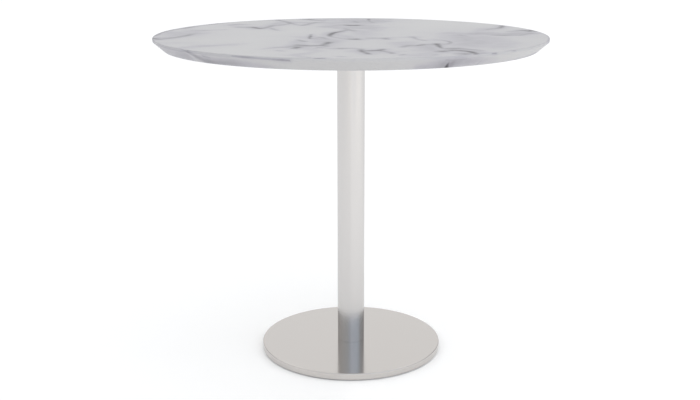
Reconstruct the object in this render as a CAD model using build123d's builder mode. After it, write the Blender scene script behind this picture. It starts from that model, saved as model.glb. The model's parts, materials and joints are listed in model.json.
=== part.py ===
"""Bistro table: a round marble-effect top on a round column and a weighted disc base.

The row frame is millimetres, +Z up, with the origin on the floor under the column's axis.
The table comes apart into a top (skin, core, backing sheet, threaded inserts), a cast spider
screwed under it, a loose column clamped by a tie rod, and a base (cover, weight, spigot) that
stands on four swivel glides. Each glide's stud screws into the base to level the table.
"""

import os

from build123d import *

# ---- driving dimensions -------------------------------------------------------------
TABLE_HEIGHT = 765.0
TOP_DIAMETER = 900.0
BASE_DIAMETER = 435.0
COLUMN_DIAMETER = 65.0

# table top: a board with an upright lip and an undercut bevel below it
CORE_THICKNESS = 25.0
SKIN_THICKNESS = 0.5
BACKER_THICKNESS = 0.5
LIP_HEIGHT = 6.0
BEVEL_INSET = 23.0
TOP_EDGE_RADIUS = 1.6
LIP_EDGE_RADIUS = 1.2

# spider casting and the screws that hold it to the top
ARM_COUNT = 4
ARM_ANGLE = 45.0
ARM_REACH = 210.0
ARM_ROOT_WIDTH = 52.0
ARM_TIP_WIDTH = 34.0
ARM_THICKNESS = 5.0
RIB_THICKNESS = 7.0
RIB_ROOT_DEPTH = 15.0
RIB_TIP_DEPTH = 2.0
RIB_ROOT_RADIUS = 23.0
HUB_DIAMETER = 92.0
HUB_THICKNESS = 10.0
ARM_CHAMFER = 1.2
HUB_CHAMFER = 1.5
SCREW_CIRCLES = (120.0, 192.0)
SCREW_DIAMETER = 6.0
SCREW_CLEARANCE_DIAMETER = 7.0
SCREW_BITE = 10.0
SCREW_HEAD_DIAMETER = 11.0
SCREW_HEAD_HEIGHT = 3.6
SCREW_HEAD_RADIUS = 2.2
SCREW_POINT_CHAMFER = 0.6
SCREW_SOCKET_WIDTH = 4.0
SCREW_SOCKET_DEPTH = 2.2
SCREW_WASHER_DIAMETER = 14.0
SCREW_WASHER_THICKNESS = 1.2
SPOT_FACE_MARGIN = 1.0
INSERT_DIAMETER = 10.0
INSERT_LENGTH = 13.0
INSERT_GROOVE_DEPTH = 0.5
INSERT_GROOVE_WIDTH = 1.2
INSERT_GROOVE_COUNT = 3

# column and tie rod
COLUMN_WALL = 1.5
SPIGOT_CLEARANCE = 0.3
GASKET_THICKNESS = 0.8
SPIDER_SPIGOT_DEPTH = 30.0
NUT_RECESS_DIAMETER = 34.0
NUT_RECESS_DEPTH = 17.0
SPIGOT_WEB = 12.0
SPIGOT_WALL = 5.0
ROD_DIAMETER = 12.0
ROD_CLEARANCE_DIAMETER = 13.0
ROD_END_GAP = 1.0
ROD_CHAMFER = 1.0
ROD_WASHER_DIAMETER = 30.0
ROD_WASHER_THICKNESS = 2.5
LOCK_WASHER_DIAMETER = 21.0
LOCK_WASHER_THICKNESS = 2.5
LOCK_WASHER_SPLIT = 1.5
ROD_NUT_WIDTH = 19.0
ROD_NUT_HEIGHT = 10.0
ROD_NUT_CHAMFER = 1.2

# base
FLOOR_GAP = 3.0
BASE_HEIGHT = 15.0
COVER_THICKNESS = 1.5
COVER_EDGE_RADIUS = 2.0
COVER_INNER_RADIUS = 0.8
COVER_TO_WEIGHT_GAP = 0.5
WEIGHT_CHAMFER = 1.2
UNDERLAY_THICKNESS = 1.5
UNDERLAY_RECESS = 0.5
UNDERLAY_MARGIN = 5.0
UNDERLAY_HOLE_DIAMETER = 90.0
BASE_SPIGOT_HEIGHT = 28.0
BASE_SPIGOT_CHAMFER = 2.0
BASE_SPIGOT_ROD_GAP = 2.0
SPIGOT_BOLT_COUNT = 4
SPIGOT_BOLT_CIRCLE = 20.0
SPIGOT_BOLT_DIAMETER = 8.0
SPIGOT_BOLT_HEAD_DIAMETER = 16.0
SPIGOT_BOLT_HEAD_ANGLE = 90.0
SPIGOT_BOLT_BITE = 14.0
SPIGOT_BOLT_HOLE_SPARE = 1.0
SPIGOT_BOLT_SOCKET_WIDTH = 5.0
SPIGOT_BOLT_SOCKET_DEPTH = 3.0

# levelling glides
GLIDE_COUNT = 4
GLIDE_CIRCLE = 180.0
GLIDE_ANGLE = 45.0
PAD_DIAMETER = 24.0
PAD_HEIGHT = 4.0
PAD_CHAMFER = 0.8
PAD_POCKET_DIAMETER = 28.0
PAD_POCKET_DEPTH = 2.5
PAD_SOCKET_FLOOR = 1.4
PAD_SOCKET_ROOF = 3.2
PAD_SOCKET_DIAMETER = 10.6
PAD_NECK_DIAMETER = 7.0
STUD_FOOT_DIAMETER = 10.0
STUD_NECK_DIAMETER = 6.0
STUD_PLAY = 0.2
STUD_HEX_WIDTH = 13.0
STUD_HEX_HEIGHT = 2.0
STUD_DIAMETER = 8.0
STUD_TOP = 14.5
STUD_CHAMFER = 0.8
BUSH_DIAMETER = 14.0
BUSH_CLEARANCE = 0.06
BUSH_TOP_GAP = 0.5

# ---- levels worked out from the driving dimensions -----------------------------------
SKIN_TOP = TABLE_HEIGHT
CORE_TOP = SKIN_TOP - SKIN_THICKNESS
CORE_BOTTOM = CORE_TOP - CORE_THICKNESS
TOP_UNDERSIDE = CORE_BOTTOM - BACKER_THICKNESS
ARM_BOTTOM = TOP_UNDERSIDE - ARM_THICKNESS
HUB_BOTTOM = TOP_UNDERSIDE - HUB_THICKNESS
RECESS_FLOOR = TOP_UNDERSIDE - NUT_RECESS_DEPTH
SPIDER_SPIGOT_BOTTOM = HUB_BOTTOM - SPIDER_SPIGOT_DEPTH
COLUMN_TOP = HUB_BOTTOM - GASKET_THICKNESS
BASE_TOP = FLOOR_GAP + BASE_HEIGHT
COLUMN_BOTTOM = BASE_TOP + GASKET_THICKNESS
WEIGHT_TOP = BASE_TOP - COVER_THICKNESS
UNDERLAY_BOTTOM = FLOOR_GAP + UNDERLAY_RECESS
WEIGHT_BOTTOM = UNDERLAY_BOTTOM + UNDERLAY_THICKNESS
POCKET_TOP = WEIGHT_BOTTOM + PAD_POCKET_DEPTH
BUSH_TOP = WEIGHT_TOP - BUSH_TOP_GAP
STUD_FOOT_BOTTOM = PAD_SOCKET_FLOOR + STUD_PLAY
STUD_FOOT_TOP = PAD_SOCKET_ROOF - STUD_PLAY
HEX_BOTTOM = PAD_HEIGHT + STUD_PLAY
HEX_TOP = HEX_BOTTOM + STUD_HEX_HEIGHT

# ---- radii worked out from the driving dimensions ------------------------------------
TOP_RADIUS = TOP_DIAMETER / 2
BEVEL_BOTTOM_RADIUS = TOP_RADIUS - BEVEL_INSET
COLUMN_RADIUS = COLUMN_DIAMETER / 2
COLUMN_BORE_RADIUS = COLUMN_RADIUS - COLUMN_WALL
SPIGOT_RADIUS = COLUMN_BORE_RADIUS - SPIGOT_CLEARANCE
BASE_RADIUS = BASE_DIAMETER / 2
WEIGHT_RADIUS = BASE_RADIUS - COVER_THICKNESS - COVER_TO_WEIGHT_GAP
SCREW_ANGLES = dict(count=ARM_COUNT, start_angle=ARM_ANGLE)

os.makedirs("parts", exist_ok=True)


def ring(outer_radius, inner_radius):
    """Sketches an annulus in the current sketch."""
    Circle(outer_radius)
    Circle(inner_radius, mode=Mode.SUBTRACT)


def finish(part, name):
    """Labels a finished piece and writes it to its own file."""
    part.label = name
    export_step(part, f"parts/{name}.step")


def top_profile(radius, top, bottom, bottom_radius, lip_bottom, edge_radius, lip_radius):
    """Half section of a bevelled board: flat face, rounded lip, undercut bevel, flat underside."""
    with BuildSketch(Plane.XZ) as profile:
        with BuildLine():
            Polyline(
                (0, bottom),
                (bottom_radius, bottom),
                (radius, lip_bottom),
                (radius, top),
                (0, top),
                close=True,
            )
        make_face()
        outer = profile.vertices().group_by(Axis.X)[-1].sort_by(Axis.Y)
        fillet(outer[-1], radius=edge_radius)
        outer = profile.vertices().group_by(Axis.X)[-1].sort_by(Axis.Y)
        fillet(outer[0], radius=lip_radius)
    return profile.sketch


# The core's bevel runs parallel to the skin's, one skin thickness inside it.
BEVEL_HEIGHT = CORE_THICKNESS + BACKER_THICKNESS + SKIN_THICKNESS - LIP_HEIGHT
BEVEL_LENGTH = (BEVEL_INSET**2 + BEVEL_HEIGHT**2) ** 0.5
BEVEL_STEP = SKIN_THICKNESS * BEVEL_LENGTH / BEVEL_HEIGHT
LIP_BOTTOM = TABLE_HEIGHT - LIP_HEIGHT
CORE_LIP_BOTTOM = LIP_BOTTOM + (BEVEL_STEP - SKIN_THICKNESS) * BEVEL_HEIGHT / BEVEL_INSET
CORE_BOTTOM_RADIUS = BEVEL_BOTTOM_RADIUS - BEVEL_STEP

# ---- table top ---------------------------------------------------------------------
core_section = top_profile(
    TOP_RADIUS - SKIN_THICKNESS,
    CORE_TOP,
    TOP_UNDERSIDE,
    CORE_BOTTOM_RADIUS,
    CORE_LIP_BOTTOM,
    TOP_EDGE_RADIUS - SKIN_THICKNESS,
    LIP_EDGE_RADIUS - SKIN_THICKNESS,
)
skin_section = top_profile(
    TOP_RADIUS,
    SKIN_TOP,
    TOP_UNDERSIDE,
    BEVEL_BOTTOM_RADIUS,
    LIP_BOTTOM,
    TOP_EDGE_RADIUS,
    LIP_EDGE_RADIUS,
)

with BuildPart() as board:
    revolve(core_section, axis=Axis.Z)

with BuildPart() as top_skin:
    revolve(skin_section, axis=Axis.Z)
    add(board.part, mode=Mode.SUBTRACT)
finish(top_skin.part, "top_skin")

with BuildPart() as top_core:
    add(board.part)
    split(bisect_by=Plane.XY.offset(CORE_BOTTOM), keep=Keep.TOP)
    for circle in SCREW_CIRCLES:
        with BuildSketch(Plane.XY.offset(CORE_BOTTOM)):
            with PolarLocations(circle, **SCREW_ANGLES):
                Circle(INSERT_DIAMETER / 2)
        extrude(amount=INSERT_LENGTH, mode=Mode.SUBTRACT)
finish(top_core.part, "top_core")

with BuildPart() as top_backer:
    add(board.part)
    split(bisect_by=Plane.XY.offset(CORE_BOTTOM), keep=Keep.BOTTOM)
    for circle in SCREW_CIRCLES:
        with BuildSketch(Plane.XY.offset(TOP_UNDERSIDE)):
            with PolarLocations(circle, **SCREW_ANGLES):
                Circle(SCREW_CLEARANCE_DIAMETER / 2)
        extrude(amount=BACKER_THICKNESS, mode=Mode.SUBTRACT)
finish(top_backer.part, "top_backer")

with BuildPart() as threaded_inserts:
    for circle in SCREW_CIRCLES:
        with BuildSketch(Plane.XY.offset(CORE_BOTTOM)):
            with PolarLocations(circle, **SCREW_ANGLES):
                ring(INSERT_DIAMETER / 2, SCREW_DIAMETER / 2)
        extrude(amount=INSERT_LENGTH)
        for groove in range(1, INSERT_GROOVE_COUNT + 1):
            level = CORE_BOTTOM + groove * INSERT_LENGTH / (INSERT_GROOVE_COUNT + 1)
            with BuildSketch(Plane.XY.offset(level)):
                with PolarLocations(circle, **SCREW_ANGLES):
                    ring(INSERT_DIAMETER / 2, INSERT_DIAMETER / 2 - INSERT_GROOVE_DEPTH)
            extrude(amount=INSERT_GROOVE_WIDTH, mode=Mode.SUBTRACT)
finish(threaded_inserts.part, "threaded_inserts")

# ---- spider ------------------------------------------------------------------------
ARM_TIP_CENTRE = ARM_REACH - ARM_TIP_WIDTH / 2

with BuildPart() as arm:
    with BuildSketch(Plane.XY.offset(ARM_BOTTOM)):
        with BuildLine():
            outline = Polyline(
                (ARM_TIP_CENTRE, -ARM_TIP_WIDTH / 2),
                (0, -ARM_ROOT_WIDTH / 2),
                (0, ARM_ROOT_WIDTH / 2),
                (ARM_TIP_CENTRE, ARM_TIP_WIDTH / 2),
            )
            ThreePointArc(outline @ 1, (ARM_REACH, 0), outline @ 0)
        make_face()
    extrude(amount=ARM_THICKNESS)
    chamfer(arm.faces().sort_by(Axis.Z)[0].edges().sort_by(Axis.X)[1:], length=ARM_CHAMFER)
    with BuildSketch(Plane.XZ):
        with BuildLine():
            Polyline(
                (RIB_ROOT_RADIUS, ARM_BOTTOM),
                (RIB_ROOT_RADIUS, TOP_UNDERSIDE - RIB_ROOT_DEPTH),
                (HUB_DIAMETER / 2, TOP_UNDERSIDE - RIB_ROOT_DEPTH),
                (ARM_TIP_CENTRE, ARM_BOTTOM - RIB_TIP_DEPTH),
                (ARM_TIP_CENTRE, ARM_BOTTOM),
                close=True,
            )
        make_face()
    extrude(amount=RIB_THICKNESS / 2, both=True)
    # A spot face through the rib gives each washer a flat seat on the arm.
    with BuildSketch(Plane.XY.offset(ARM_BOTTOM)):
        with Locations(*[(circle, 0) for circle in SCREW_CIRCLES]):
            Circle(SCREW_WASHER_DIAMETER / 2 + SPOT_FACE_MARGIN)
    extrude(amount=-RIB_ROOT_DEPTH, mode=Mode.SUBTRACT)
    with BuildSketch(Plane.XY.offset(ARM_BOTTOM)):
        with Locations(*[(circle, 0) for circle in SCREW_CIRCLES]):
            Circle(SCREW_CLEARANCE_DIAMETER / 2)
    extrude(amount=ARM_THICKNESS, mode=Mode.SUBTRACT)

with BuildPart() as spider:
    with PolarLocations(0, ARM_COUNT, start_angle=ARM_ANGLE):
        add(arm.part)
    with BuildSketch(Plane.XY.offset(HUB_BOTTOM)):
        Circle(HUB_DIAMETER / 2)
    extrude(amount=HUB_THICKNESS)
    # The column butts against the hub's flat ring, so nothing hangs below that ring.
    with BuildSketch(Plane.XY.offset(HUB_BOTTOM)):
        Circle(HUB_DIAMETER / 2)
    extrude(amount=-RIB_ROOT_DEPTH, mode=Mode.SUBTRACT)
    chamfer(spider.edges().group_by(Axis.Z)[0].filter_by(GeomType.CIRCLE), length=HUB_CHAMFER)
    with BuildSketch(Plane.XY.offset(HUB_BOTTOM)):
        Circle(SPIGOT_RADIUS)
    extrude(amount=-SPIDER_SPIGOT_DEPTH)
    with BuildSketch(Plane.XY.offset(TOP_UNDERSIDE)):
        Circle(NUT_RECESS_DIAMETER / 2)
    extrude(amount=-NUT_RECESS_DEPTH, mode=Mode.SUBTRACT)
    with BuildSketch(Plane.XY.offset(RECESS_FLOOR)):
        Circle(ROD_CLEARANCE_DIAMETER / 2)
    extrude(amount=-SPIGOT_WEB, mode=Mode.SUBTRACT)
    with BuildSketch(Plane.XY.offset(SPIDER_SPIGOT_BOTTOM)):
        Circle(SPIGOT_RADIUS - SPIGOT_WALL)
    extrude(amount=RECESS_FLOOR - SPIGOT_WEB - SPIDER_SPIGOT_BOTTOM, mode=Mode.SUBTRACT)
finish(spider.part, "spider")

HEAD_TOP = ARM_BOTTOM - SCREW_WASHER_THICKNESS
HEAD_BOTTOM = HEAD_TOP - SCREW_HEAD_HEIGHT

with BuildPart() as spider_washers:
    for circle in SCREW_CIRCLES:
        with BuildSketch(Plane.XY.offset(ARM_BOTTOM)):
            with PolarLocations(circle, **SCREW_ANGLES):
                ring(SCREW_WASHER_DIAMETER / 2, SCREW_CLEARANCE_DIAMETER / 2)
        extrude(amount=-SCREW_WASHER_THICKNESS)
finish(spider_washers.part, "spider_washers")

with BuildPart() as screw:
    with BuildSketch(Plane.XY.offset(HEAD_TOP)):
        Circle(SCREW_HEAD_DIAMETER / 2)
    extrude(amount=-SCREW_HEAD_HEIGHT)
    fillet(screw.edges().sort_by(Axis.Z)[0], radius=SCREW_HEAD_RADIUS)
    with BuildSketch(Plane.XY.offset(HEAD_BOTTOM)):
        RegularPolygon(SCREW_SOCKET_WIDTH / 2, 6, major_radius=False)
    extrude(amount=SCREW_SOCKET_DEPTH, mode=Mode.SUBTRACT)
    with BuildSketch(Plane.XY.offset(HEAD_TOP)):
        Circle(SCREW_DIAMETER / 2)
    extrude(amount=CORE_BOTTOM + SCREW_BITE - HEAD_TOP)
    chamfer(screw.edges().sort_by(Axis.Z)[-1], length=SCREW_POINT_CHAMFER)

with BuildPart() as spider_screws:
    for circle in SCREW_CIRCLES:
        with PolarLocations(circle, **SCREW_ANGLES):
            add(screw.part)
finish(spider_screws.part, "spider_screws")

# ---- column and tie rod ------------------------------------------------------------
with BuildPart() as column_tube:
    with BuildSketch(Plane.XY.offset(COLUMN_BOTTOM)):
        ring(COLUMN_RADIUS, COLUMN_BORE_RADIUS)
    extrude(amount=COLUMN_TOP - COLUMN_BOTTOM)
finish(column_tube.part, "column_tube")

for name, level in (("column_top_gasket", COLUMN_TOP), ("column_base_gasket", BASE_TOP)):
    with BuildPart() as gasket:
        with BuildSketch(Plane.XY.offset(level)):
            ring(COLUMN_RADIUS, SPIGOT_RADIUS + SPIGOT_CLEARANCE)
        extrude(amount=GASKET_THICKNESS)
    finish(gasket.part, name)

ROD_BOTTOM = WEIGHT_TOP + BASE_SPIGOT_ROD_GAP
ROD_TOP = TOP_UNDERSIDE - ROD_END_GAP
WASHER_TOP = RECESS_FLOOR + ROD_WASHER_THICKNESS
NUT_BOTTOM = WASHER_TOP + LOCK_WASHER_THICKNESS
NUT_TOP = NUT_BOTTOM + ROD_NUT_HEIGHT
ROD_NUT_CORNER = ROD_NUT_WIDTH / 3**0.5 + ROD_NUT_CHAMFER

with BuildPart() as tie_rod:
    with BuildSketch(Plane.XY.offset(ROD_BOTTOM)):
        Circle(ROD_DIAMETER / 2)
    extrude(amount=ROD_TOP - ROD_BOTTOM)
    chamfer(tie_rod.edges().filter_by(GeomType.CIRCLE), length=ROD_CHAMFER)
finish(tie_rod.part, "tie_rod")

with BuildPart() as tie_rod_washer:
    with BuildSketch(Plane.XY.offset(RECESS_FLOOR)):
        ring(ROD_WASHER_DIAMETER / 2, ROD_CLEARANCE_DIAMETER / 2)
    extrude(amount=ROD_WASHER_THICKNESS)
finish(tie_rod_washer.part, "tie_rod_washer")

with BuildPart() as tie_rod_lock_washer:
    with BuildSketch(Plane.XY.offset(WASHER_TOP)):
        ring(LOCK_WASHER_DIAMETER / 2, ROD_CLEARANCE_DIAMETER / 2)
        with Locations((LOCK_WASHER_DIAMETER / 2, 0)):
            Rectangle(LOCK_WASHER_DIAMETER, LOCK_WASHER_SPLIT, mode=Mode.SUBTRACT)
    extrude(amount=LOCK_WASHER_THICKNESS)
finish(tie_rod_lock_washer.part, "tie_rod_lock_washer")

with BuildPart() as tie_rod_nut:
    with BuildSketch(Plane.XY.offset(NUT_BOTTOM)):
        RegularPolygon(ROD_NUT_WIDTH / 2, 6, major_radius=False)
        Circle(ROD_DIAMETER / 2, mode=Mode.SUBTRACT)
    extrude(amount=ROD_NUT_HEIGHT)
    with BuildSketch(Plane.XZ):
        with BuildLine():
            Polyline(
                (ROD_NUT_WIDTH / 2, NUT_TOP),
                (ROD_NUT_CORNER, NUT_TOP),
                (ROD_NUT_CORNER, NUT_TOP - ROD_NUT_CHAMFER),
                close=True,
            )
        make_face()
    revolve(axis=Axis.Z, mode=Mode.SUBTRACT)
finish(tie_rod_nut.part, "tie_rod_nut")

# ---- base --------------------------------------------------------------------------
with BuildPart() as base_cover:
    with BuildSketch(Plane.XZ) as cover_profile:
        with BuildLine():
            Polyline(
                (SPIGOT_RADIUS + SPIGOT_CLEARANCE, BASE_TOP),
                (BASE_RADIUS, BASE_TOP),
                (BASE_RADIUS, FLOOR_GAP),
                (BASE_RADIUS - COVER_THICKNESS, FLOOR_GAP),
                (BASE_RADIUS - COVER_THICKNESS, WEIGHT_TOP),
                (SPIGOT_RADIUS + SPIGOT_CLEARANCE, WEIGHT_TOP),
                close=True,
            )
        make_face()
        outer_corner = (BASE_RADIUS, BASE_TOP, 0)
        fillet(cover_profile.vertices().sort_by_distance(outer_corner)[0], radius=COVER_EDGE_RADIUS)
        inner_corner = (BASE_RADIUS - COVER_THICKNESS, WEIGHT_TOP, 0)
        fillet(cover_profile.vertices().sort_by_distance(inner_corner)[0], radius=COVER_INNER_RADIUS)
    revolve(axis=Axis.Z)
finish(base_cover.part, "base_cover")

with BuildPart() as base_weight:
    with BuildSketch(Plane.XY.offset(WEIGHT_BOTTOM)):
        Circle(WEIGHT_RADIUS)
    extrude(amount=WEIGHT_TOP - WEIGHT_BOTTOM)
    chamfer(base_weight.edges().group_by(Axis.Z)[-1], length=WEIGHT_CHAMFER)
    with BuildSketch(Plane.XY.offset(WEIGHT_BOTTOM)):
        with PolarLocations(GLIDE_CIRCLE, GLIDE_COUNT, start_angle=GLIDE_ANGLE):
            Circle(PAD_POCKET_DIAMETER / 2)
    extrude(amount=PAD_POCKET_DEPTH, mode=Mode.SUBTRACT)
    with BuildSketch(Plane.XY.offset(POCKET_TOP)):
        with PolarLocations(GLIDE_CIRCLE, GLIDE_COUNT, start_angle=GLIDE_ANGLE):
            Circle(BUSH_DIAMETER / 2)
    extrude(amount=WEIGHT_TOP - POCKET_TOP, mode=Mode.SUBTRACT)
    with Locations(Plane.XY.offset(WEIGHT_BOTTOM).rotated((180, 0, 0))):
        with PolarLocations(SPIGOT_BOLT_CIRCLE, SPIGOT_BOLT_COUNT):
            CounterSinkHole(
                SPIGOT_BOLT_DIAMETER / 2,
                SPIGOT_BOLT_HEAD_DIAMETER / 2,
                counter_sink_angle=SPIGOT_BOLT_HEAD_ANGLE,
            )
finish(base_weight.part, "base_weight")

with BuildPart() as base_spigot:
    with BuildSketch(Plane.XY.offset(WEIGHT_TOP)):
        Circle(SPIGOT_RADIUS)
    extrude(amount=BASE_SPIGOT_HEIGHT)
    chamfer(base_spigot.edges().group_by(Axis.Z)[-1], length=BASE_SPIGOT_CHAMFER)
    with BuildSketch(Plane.XY.offset(ROD_BOTTOM)):
        Circle(ROD_DIAMETER / 2)
    extrude(amount=BASE_SPIGOT_HEIGHT, mode=Mode.SUBTRACT)
    with BuildSketch(Plane.XY.offset(WEIGHT_TOP)):
        with PolarLocations(SPIGOT_BOLT_CIRCLE, SPIGOT_BOLT_COUNT):
            Circle(SPIGOT_BOLT_DIAMETER / 2)
    extrude(amount=SPIGOT_BOLT_BITE + SPIGOT_BOLT_HOLE_SPARE, mode=Mode.SUBTRACT)
finish(base_spigot.part, "base_spigot")

with BuildPart() as spigot_bolt:
    head_depth = (SPIGOT_BOLT_HEAD_DIAMETER - SPIGOT_BOLT_DIAMETER) / 2
    with BuildSketch(Plane.XZ):
        with BuildLine():
            Polyline(
                (0, WEIGHT_BOTTOM),
                (SPIGOT_BOLT_HEAD_DIAMETER / 2, WEIGHT_BOTTOM),
                (SPIGOT_BOLT_DIAMETER / 2, WEIGHT_BOTTOM + head_depth),
                (SPIGOT_BOLT_DIAMETER / 2, WEIGHT_TOP + SPIGOT_BOLT_BITE),
                (0, WEIGHT_TOP + SPIGOT_BOLT_BITE),
                close=True,
            )
        make_face()
    revolve(axis=Axis.Z)
    with BuildSketch(Plane.XY.offset(WEIGHT_BOTTOM)):
        RegularPolygon(SPIGOT_BOLT_SOCKET_WIDTH / 2, 6, major_radius=False)
    extrude(amount=SPIGOT_BOLT_SOCKET_DEPTH, mode=Mode.SUBTRACT)

with BuildPart() as spigot_bolts:
    with PolarLocations(SPIGOT_BOLT_CIRCLE, SPIGOT_BOLT_COUNT):
        add(spigot_bolt.part)
finish(spigot_bolts.part, "spigot_bolts")

with BuildPart() as base_underlay:
    with BuildSketch(Plane.XY.offset(UNDERLAY_BOTTOM)):
        ring(WEIGHT_RADIUS - UNDERLAY_MARGIN, UNDERLAY_HOLE_DIAMETER / 2)
        with PolarLocations(GLIDE_CIRCLE, GLIDE_COUNT, start_angle=GLIDE_ANGLE):
            Circle(PAD_POCKET_DIAMETER / 2, mode=Mode.SUBTRACT)
    extrude(amount=UNDERLAY_THICKNESS)
finish(base_underlay.part, "base_underlay")

# ---- levelling glides --------------------------------------------------------------
with BuildPart() as glide_bushes:
    with BuildSketch(Plane.XY.offset(POCKET_TOP)):
        with PolarLocations(GLIDE_CIRCLE, GLIDE_COUNT, start_angle=GLIDE_ANGLE):
            ring(BUSH_DIAMETER / 2, STUD_DIAMETER / 2 + BUSH_CLEARANCE)
    extrude(amount=BUSH_TOP - POCKET_TOP)
finish(glide_bushes.part, "glide_bushes")

with BuildPart() as pad:
    with BuildSketch():
        Circle(PAD_DIAMETER / 2)
    extrude(amount=PAD_HEIGHT)
    chamfer(pad.edges().filter_by(GeomType.CIRCLE), length=PAD_CHAMFER)
    with BuildSketch(Plane.XY.offset(PAD_SOCKET_FLOOR)):
        Circle(PAD_SOCKET_DIAMETER / 2)
    extrude(amount=PAD_SOCKET_ROOF - PAD_SOCKET_FLOOR, mode=Mode.SUBTRACT)
    with BuildSketch(Plane.XY.offset(PAD_SOCKET_ROOF)):
        Circle(PAD_NECK_DIAMETER / 2)
    extrude(amount=PAD_HEIGHT - PAD_SOCKET_ROOF, mode=Mode.SUBTRACT)

with BuildPart() as stud:
    with BuildSketch(Plane.XY.offset(STUD_FOOT_BOTTOM)):
        Circle(STUD_FOOT_DIAMETER / 2)
    extrude(amount=STUD_FOOT_TOP - STUD_FOOT_BOTTOM)
    with BuildSketch(Plane.XY.offset(STUD_FOOT_TOP)):
        Circle(STUD_NECK_DIAMETER / 2)
    extrude(amount=HEX_BOTTOM - STUD_FOOT_TOP)
    with BuildSketch(Plane.XY.offset(HEX_BOTTOM)):
        RegularPolygon(STUD_HEX_WIDTH / 2, 6, major_radius=False)
    extrude(amount=STUD_HEX_HEIGHT)
    with BuildSketch(Plane.XY.offset(HEX_TOP)):
        Circle(STUD_DIAMETER / 2)
    extrude(amount=STUD_TOP - HEX_TOP)
    chamfer(stud.edges().sort_by(Axis.Z)[-1], length=STUD_CHAMFER)

glide_places = PolarLocations(GLIDE_CIRCLE, GLIDE_COUNT, start_angle=GLIDE_ANGLE)
for number, place in enumerate(glide_places, start=1):
    with BuildPart() as glide_pad:
        with Locations(place):
            add(pad.part)
    finish(glide_pad.part, f"glide_pad_{number}")
    with BuildPart() as glide_stud:
        with Locations(place):
            add(stud.part)
    finish(glide_stud.part, f"glide_stud_{number}")
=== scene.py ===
"""Looks of a round bistro table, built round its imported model.

Metres, +Z up, the origin on the floor under the column's axis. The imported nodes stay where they
are. Round pieces that show are turned again in fine steps, and the screws, studs and rods get
their threads, hexagons and rounded edges. Every finish is made of nodes on Object coordinates.
"""

import json
import math
from functools import partial

import bpy
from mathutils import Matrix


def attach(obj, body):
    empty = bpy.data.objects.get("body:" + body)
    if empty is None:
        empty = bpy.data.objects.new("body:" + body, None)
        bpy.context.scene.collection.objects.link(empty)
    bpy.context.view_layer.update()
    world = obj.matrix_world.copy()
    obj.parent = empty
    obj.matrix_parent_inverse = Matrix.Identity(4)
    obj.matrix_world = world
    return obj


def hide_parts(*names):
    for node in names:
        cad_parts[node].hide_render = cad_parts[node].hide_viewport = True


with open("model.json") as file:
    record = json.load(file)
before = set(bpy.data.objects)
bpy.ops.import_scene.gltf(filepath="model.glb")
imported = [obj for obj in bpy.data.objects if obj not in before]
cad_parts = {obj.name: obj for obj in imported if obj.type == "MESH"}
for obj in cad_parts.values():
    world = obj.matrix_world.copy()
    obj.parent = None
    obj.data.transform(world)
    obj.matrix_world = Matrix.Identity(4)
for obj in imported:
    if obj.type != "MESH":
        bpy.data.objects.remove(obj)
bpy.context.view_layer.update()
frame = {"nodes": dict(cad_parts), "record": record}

MM, MICRON = 0.001, 0.000001
TAU = 2 * math.pi

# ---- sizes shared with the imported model, in millimetres ------------------------------------
TOP_R, TOP_Z, TOP_UNDER_Z = 450.0, 765.0, 739.0
LIP_Z, BEVEL_FOOT_R, SKIN = 759.0, 427.0, 0.5
TUBE_R, TUBE_BORE_R, TUBE_FOOT_Z, TUBE_HEAD_Z = 32.5, 31.0, 18.8, 728.2
GASKET = 0.8
BASE_R, BASE_Z, BASE_FOOT_Z, COVER, COVER_HOLE_R = 217.5, 18.0, 3.0, 1.5, 31.0
GLIDE_CIRCLE, GLIDE_START, GLIDE_STEP = 180.0, 45.0, 90.0
ARM_START, SCREW_CIRCLE, SCREW_STEP = 45.0, 120.0, 72.0
ARM_Z, SCREW_HEAD_Z, HEAD_FACE_Z, SCREW_TIP_Z = 734.0, 732.8, 729.2, 749.5

# Each thread's outer radius, pitch and depth.
M6_R, M6_PITCH, M6_CUT = 3.0, 1.0, 0.6
M8_R, M8_PITCH, M8_CUT = 4.0, 1.25, 0.7
M12_R, M12_PITCH, M12_CUT = 6.0, 1.75, 1.0
THREAD_PLAY = 0.06

# ---- how finely pieces are turned ----------------------------------------------------------
ROUND_STEPS, THREAD_STEPS = 6, 4
FINE, MEDIUM, SMALL = 288, 96, 36
SHARP_ANGLE = math.radians(31)
MERGE_DISTANCE = 1e-6

# A cut edge is barely rounded. Points a little past each arc keep the shading beside it flat.
CUT_EDGE = 0.15
ARC_GUARD = 1.25


# ---- node helpers --------------------------------------------------------------------------
def feed(tree, node, values):
    """Gives a node's inputs their links or values. None leaves an input as it is."""
    for key, value in values.items():
        socket = node.inputs[key]
        if isinstance(value, bpy.types.NodeSocket):
            tree.links.new(value, socket)
        elif value is not None:
            socket.default_value = value


def put(tree, kind, *inputs, named=None, **settings):
    """Adds a node with its settings and its inputs, in order or named, and returns it."""
    node = tree.nodes.new(kind)
    for key, value in settings.items():
        setattr(node, key, value)
    feed(tree, node, dict(enumerate(inputs)) | (named or {}))
    return node


def maths(tree, operation, *inputs):
    """One Math node's result."""
    return put(tree, "ShaderNodeMath", *inputs, operation=operation).outputs[0]


def vectors(tree, operation, *inputs, result="Vector"):
    """One Vector Math node's result."""
    return put(tree, "ShaderNodeVectorMath", *inputs, operation=operation).outputs[result]


def new_tree(name, kind, inputs, result):
    """A node tree, with inputs and one output of (name, kind), and what its inputs give."""
    tree = bpy.data.node_groups.new(name, kind)
    for direction, sockets in (("INPUT", inputs), ("OUTPUT", (result,))):
        for label, holds in sockets:
            socket_type = "NodeSocket" + holds
            tree.interface.new_socket(label, in_out=direction, socket_type=socket_type)
    return tree, put(tree, "NodeGroupInput").outputs


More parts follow.
